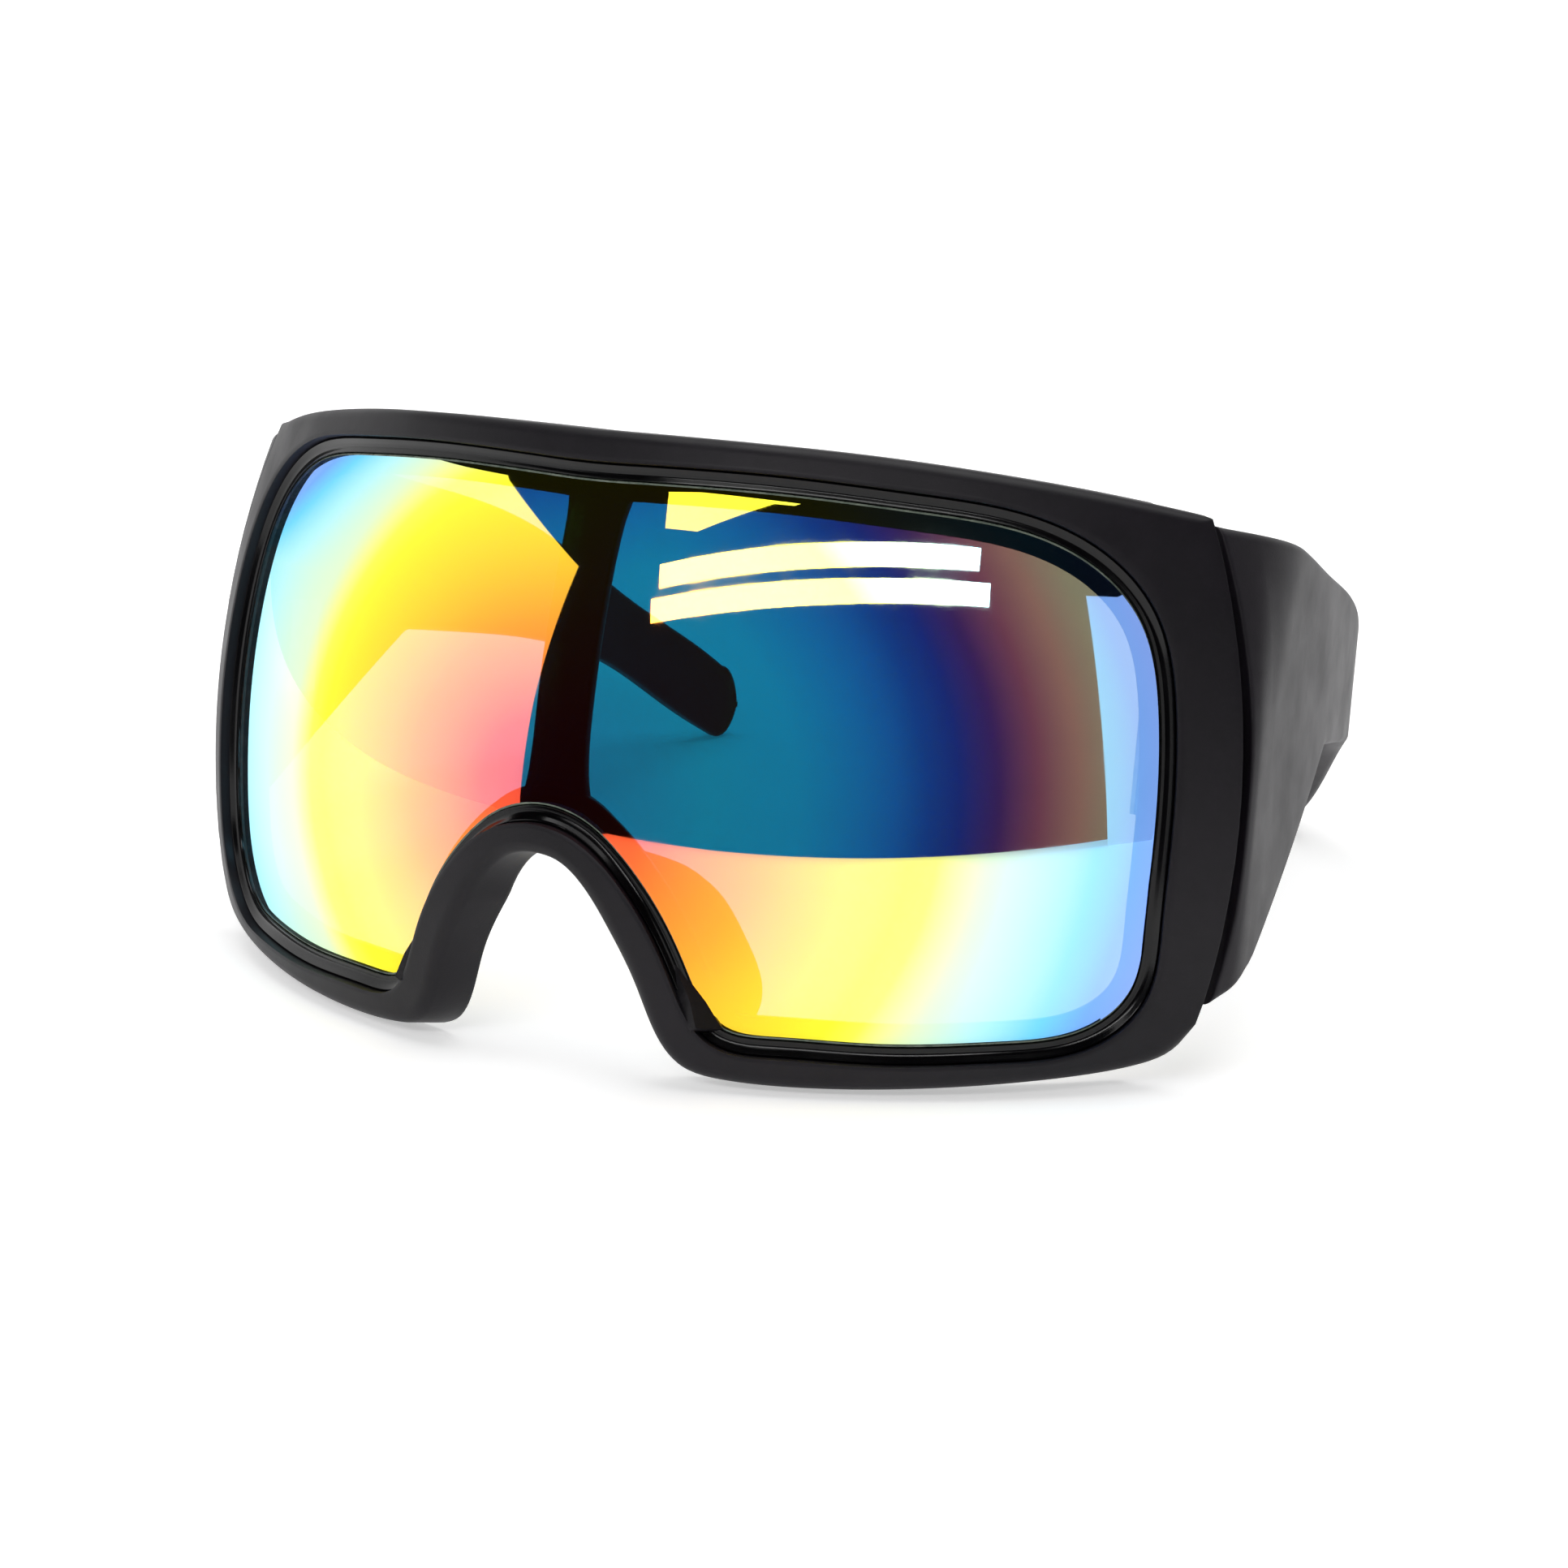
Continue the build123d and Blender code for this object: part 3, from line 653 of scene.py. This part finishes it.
# ---------------------------------------------------------------- nose flanges
def make_flange(name, node, side):
    """A thin flange that runs back from beside the nose arch and curls outwards."""
    line = even(spline(PAD_LINE, 300), 40)
    a = line[:, 0] / LENS_RADIUS
    x0 = LENS_RADIUS * np.sin(a) + (LENS_RADIUS - LENS_RADIUS * np.cos(a)) * tan(WALL_SLANT)
    d = np.gradient(np.stack([x0, line[:, 1]], 1), axis=0)
    normal = np.stack([-d[:, 1], d[:, 0]], 1)
    normal *= np.sign(normal[:, :1])
    normal /= np.linalg.norm(normal, axis=1)[:, None]
    u = np.linspace(-1, 1, len(line))
    reach = PAD_REACH * (1 - 0.42 * np.abs(u) ** 3.2)
    sections = []
    levels = np.linspace(0, 1, 14)
    for k in range(len(line)):
        loop = []
        for face in (0, 1):
            for v in levels if face == 0 else levels[::-1]:
                half = 0.9 - 0.35 * v
                if v > 0.9:
                    half *= np.sqrt(max(1 - ((v - 0.9) / 0.1) ** 2, 0.02))
                half *= min(1.0, 0.45 + 2.2 * (1 - abs(u[k])))
                across = 0.9 + (half if face else -half)
                depth = PAD_START + reach[k] * v
                curl = 0.045 * (reach[k] * v) ** 1.6
                x = x0[k] + normal[k, 0] * across + depth * tan(PAD_SPLAY) * 0.86 + curl * 0.5
                loop.append((x, depth, line[k, 1] + normal[k, 1] * across))
        sections.append(loop)
    points = np.array(sections).reshape(-1, 3)
    faces = capped_tube(len(sections), len(sections[0]))
    piece = solid(name, points * [side, 1, 1], faces, [pad_black], 50)
    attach(piece, "front")
    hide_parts(node)


make_flange("nose_flange_left", "nose_pad_left", 1)
make_flange("nose_flange_right", "nose_pad_right", -1)


# ---------------------------------------------------------------- temples
temple_top = spline(TEMPLE_TOP, 900)
temple_under = spline(TEMPLE_UNDER, 700)
stations = np.concatenate([
    [0.0, 0.06, 0.16, 0.3, 0.6], np.linspace(1.2, 4.2, 9), np.linspace(5, 106.6, 110),
    TIP_START + (TEMPLE_LENGTH - TIP_START) * np.sin(np.linspace(0, 1, 14) * pi / 2),
])
stations = np.unique(np.round(stations, 4))


def temple_edges(t):
    """Upper and lower edge of the temple at distance t."""
    top = np.interp(t, temple_top[:, 0], temple_top[:, 1])
    heel_slope = (TEMPLE_UNDER[0][1] - TEMPLE_HEEL[1]) / TEMPLE_UNDER[0][0]
    heel = TEMPLE_HEEL[1] + heel_slope * t
    under = np.interp(t, temple_under[:, 0], temple_under[:, 1])
    low = np.where(t < TEMPLE_UNDER[0][0], heel, under)
    past = t > TIP_START
    tip = np.sqrt(np.clip(1 - ((t - TIP_START) / (TEMPLE_LENGTH - TIP_START)) ** 2, 0, 1))
    tip = np.maximum(tip, 0.06)
    top = np.where(past, TEMPLE_TIP_Z + (TEMPLE_TOP[-1][1] - TEMPLE_TIP_Z) * tip, top)
    low = np.where(past, TEMPLE_TIP_Z - (TEMPLE_TIP_Z - TEMPLE_UNDER[-1][1]) * tip, low)
    return top, low


fine_t = np.linspace(0, TEMPLE_LENGTH, 2241)
fine_top, fine_low = temple_edges(fine_t)
kernel = np.hanning(61)
kernel /= kernel.sum()
smooth_low = np.convolve(np.pad(fine_low, 30, mode="edge"), kernel, mode="valid")
near_corner = np.exp(-(((fine_t - TEMPLE_UNDER[0][0]) / HEEL_CORNER_REACH) ** 4))
fine_low = fine_low * (1 - near_corner) + smooth_low * near_corner
low_slope = np.gradient(fine_low, fine_t)
top_slope = np.gradient(fine_top, fine_t)
ARC = np.radians([0, 15, 30, 45, 60, 75, 90])
across = np.linspace(0, 1, 18)[1:-1]


def temple_points():
    """The open left temple's skin, as one closed ring of points at each station."""
    rows = []
    for t in stations:
        top, low = np.interp(t, fine_t, fine_top), np.interp(t, fine_t, fine_low)
        stretch_top = np.hypot(1, np.clip(np.interp(t, fine_t, top_slope), -2, 2))
        stretch_low = np.hypot(1, np.clip(np.interp(t, fine_t, low_slope), -2, 2))
        height = top - low
        end = max(0.0, TEMPLE_END_CHAMFER - t)
        chamfer = TEMPLE_END_CHAMFER - np.sqrt(TEMPLE_END_CHAMFER**2 - end**2)
        loop = []
        for face, radius in ((0, TEMPLE_FACE_RADIUS), (1, TEMPLE_BACK_RADIUS)):
            in_low, in_top = np.array([stretch_low, stretch_top]) * min(radius, height / 2.6)
            low_part = [(low + in_low * (1 - np.cos(a)), radius * (1 - np.sin(a))) for a in ARC]
            high_part = [(top - in_top * (1 - np.cos(a)), radius * (1 - np.sin(a))) for a in ARC[::-1]]
            inside_low, inside_high = low_part[-1][0], high_part[0][0]
            middle = [(inside_low + (inside_high - inside_low) * w, 0.0) for w in across]
            section = low_part + middle + high_part
            if face:
                section = section[::-1]
            for z, sunk in section:
                depth = sunk + chamfer if face == 0 else TEMPLE_THICKNESS - sunk - chamfer
                loop.append((t, z, depth))
        rows.append(loop)
    p = np.array(rows)
    t, z, depth = p[..., 0], p[..., 1], p[..., 2]
    x, y, angle = temple_station(t)
    x, y = x - depth * np.sin(angle), y + depth * np.cos(angle)
    barrel = barrel_x(y, z, depth)
    soft = CROWN_BLEND * (0.12 + 0.88 * np.clip(t / 5, 0, 1))
    gap = np.clip(0.5 + 0.5 * (barrel - x) / soft, 0, 1)
    x = barrel + (x - barrel) * gap - soft * gap * (1 - gap)
    x = np.where((y < RELIEF_Y) & (x < RELIEF_X), RELIEF_X, x)
    return np.stack([x, y, z], -1)


def barrel_x(y, z, depth):
    """x of the front's barrel carried on past the joint, at a depth inside its face."""
    rho = LENS_RADIUS + FACE_PROUD - crown(z) - depth
    ahead = np.maximum(LENS_RADIUS - y, 0)
    return np.where(y < LENS_RADIUS, np.sqrt(np.maximum(rho**2 - ahead**2, 1)), 999.0)


def make_temple(name, node, body, side):
    """One side's panel and arm, with its hinge boss."""
    points = temple_points()
    rows, ring = points.shape[:2]
    points = points.reshape(-1, 3)
    points = fold(points) if side > 0 else mirrored(points)
    panel = solid(name, points, capped_tube(rows, ring), [lit_temple_plastic], 40)
    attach(panel, body)
    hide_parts(node)
    low, high = HINGE_LOW - BOSS_MARGIN, HINGE_HIGH + BOSS_MARGIN
    boss = np.array([(x, y, z) for z in (low, high) for x, y in BOSS])
    boss = fold(boss) if side > 0 else mirrored(boss)
    piece = solid(name.replace("panel", "boss"), boss, capped_tube(2, len(BOSS)), [lit_temple_plastic])
    bevel = piece.modifiers.new("bevel", "BEVEL")
    bevel.width, bevel.segments, bevel.limit_method = BOSS_BEVEL, 3, "ANGLE"
    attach(piece, body)


make_temple("temple_panel_left", "temple_left", "left_temple", 1)
make_temple("temple_panel_right", "temple_right", "right_temple", -1)

# ---------------------------------------------------------------- hinge metal keeps its CAD shape
for name, node in frame["nodes"].items():
    if "hinge" in name or "screw" in name:
        for slot in node.material_slots:
            slot.material = screw_steel if "screw" in name else hinge_steel

# ---------------------------------------------------------------- stage
def stage_sheet(name, corners, material):
    mesh = bpy.data.meshes.new(name)
    mesh.from_pydata(corners, [], [tuple(range(len(corners)))])
    mesh.materials.append(material)
    sheet = bpy.data.objects.new(name, mesh)
    bpy.context.scene.collection.objects.link(sheet)


def stage_material(name, base, glow):
    tree = Tree(name)
    shader = tree.add("BsdfPrincipled", None, Base_Color=(base, base, base, 1), Roughness=0.7)
    shader.inputs["Emission Color"].default_value = (1, 1, 1, 1)
    shader.inputs["Emission Strength"].default_value = glow
    return tree.done(shader.outputs[0])


def area(name, place, target, width, height, glow):
    """Area light of a given brightness. glow is its surface's radiance."""
    light = bpy.data.lights.new(name, "AREA")
    light.shape, light.size, light.size_y = "RECTANGLE", width, height
    light.energy = glow * width * height * pi
    lamp = bpy.data.objects.new(name, light)
    lamp.location = place
    lamp.rotation_euler = (Vector(target) - Vector(place)).to_track_quat("-Z", "Y").to_euler()
    bpy.context.scene.collection.objects.link(lamp)
    return lamp


FLOOR_FRONT = -0.86
floor_white = stage_material("floor_white", 0.86, 0.44)
back_white = stage_material("backdrop_white", 0.85, 0.85)
stage_sheet("floor", [(-3, FLOOR_FRONT, 0), (3, FLOOR_FRONT, 0), (3, 2.2, 0), (-3, 2.2, 0)], floor_white)
stage_sheet("backdrop", [(-3, 2.2, 0), (3, 2.2, 0), (3, 2.6, 1.9), (-3, 2.6, 1.9)], back_white)
WALL_X = -0.55
WALL_OUTLINE = [(-0.70, -0.3), (-0.71, 0.2), (-0.74, 0.49), (-0.33, 0.392), (1.6, 0.392), (1.6, -0.3)]
stage_sheet("left_wall", [(WALL_X, y, z) for y, z in WALL_OUTLINE], stage_material("wall_white", 0.1, 0.98))


LENS_MIDDLE = (0.03, 0.01, 0.055)
TUBE_WIDTH, TUBE_GLOW = 0.046, 10.0
LIGHT_FAR, PATCH_FAR = 0.9, 0.95
PATCH_OUTLINE = [(-26, 40.2), (-22.6, 34.3), (-16, 35.3), (2, 42.5), (2, 50), (-24, 50)]
STRIP_OUTLINE = [(58, -4), (58, 28), (80, 22), (80, -4)]


def toward(azimuth, elevation, distance):
    """A place at this bearing and distance from the middle of the object."""
    a, e = radians(azimuth), radians(elevation)
    return Vector((sin(a) * cos(e), -cos(a) * cos(e), sin(e))) * distance + Vector((0, 0, 0.045))


def place_by_axes(item, place, axes):
    """Puts an object at a place with its own x, y and z along the given axes."""
    item.matrix_world = Matrix.Translation(place) @ Matrix(axes).transposed().to_4x4()


def tube(name, begin, end):
    """Long area light between two places, facing the lens."""
    middle, along = (begin + end) / 2, (end - begin).normalized()
    lamp = area(name, middle, LENS_MIDDLE, (end - begin).length, TUBE_WIDTH, TUBE_GLOW)
    facing = middle - Vector(LENS_MIDDLE)
    facing = (facing - along * facing.dot(along)).normalized()
    place_by_axes(lamp, middle, (along, facing.cross(along), facing))


area("overhead", (0.0, 0.35, 1.5), (0, 0.05, 0), 1.7, 1.3, 2.5)
tube("tube_upper", toward(-20.3, 28.7, LIGHT_FAR), toward(39.9, 34.9, LIGHT_FAR))
tube("tube_lower", toward(-20.0, 24.4, LIGHT_FAR), toward(41.2, 30.2, LIGHT_FAR))
patch_glow = stage_material("patch_white", 0.8, 1.1)
stage_sheet("patch", [toward(a, e, PATCH_FAR) for a, e in PATCH_OUTLINE], patch_glow)
strip_glow = stage_material("strip_grey", 0.6, 0.22)
stage_sheet("strip", [toward(a, e, LIGHT_FAR) for a, e in STRIP_OUTLINE], strip_glow)

world = bpy.data.worlds.new("world")
world.use_nodes = True
sky = world.node_tree.nodes["Background"]
sky.inputs["Color"].default_value = (0.9, 0.92, 1.0, 1)
sky.inputs["Strength"].default_value = 0.008
bpy.context.scene.world = world

# ---------------------------------------------------------------- camera
CAMERA_AZIMUTH = radians(31.067)
CAMERA_ELEVATION = radians(5.025)
CAMERA_ROLL = radians(5.044)
CAMERA_DISTANCE = 539.25
CAMERA_TARGET = (17.7, 21.54, 30.0)
camera = bpy.data.objects.new("camera", bpy.data.cameras.new("camera"))
camera.data.sensor_width = 36
camera.data.lens = 110.76
camera.data.clip_start = 0.01


def turned(v):
    """A direction of the upright design frame in the rest frame."""
    c, s = cos(LEAN), sin(LEAN)
    return Vector((v[0], v[1] * c + v[2] * s, v[2] * c - v[1] * s))


back = Vector((
    sin(CAMERA_AZIMUTH) * cos(CAMERA_ELEVATION),
    -cos(CAMERA_AZIMUTH) * cos(CAMERA_ELEVATION),
    sin(CAMERA_ELEVATION),
))
level = Vector((cos(CAMERA_AZIMUTH), sin(CAMERA_AZIMUTH), 0))
right = level * cos(CAMERA_ROLL) + back.cross(level) * sin(CAMERA_ROLL)
place = to_rest(np.array(Vector(CAMERA_TARGET) + back * CAMERA_DISTANCE))
place_by_axes(camera, Vector(place.tolist()), [turned(axis) for axis in (right, back.cross(right), back)])
bpy.context.scene.collection.objects.link(camera)
bpy.context.scene.camera = camera
bpy.context.scene.view_settings.view_transform = "Standard"
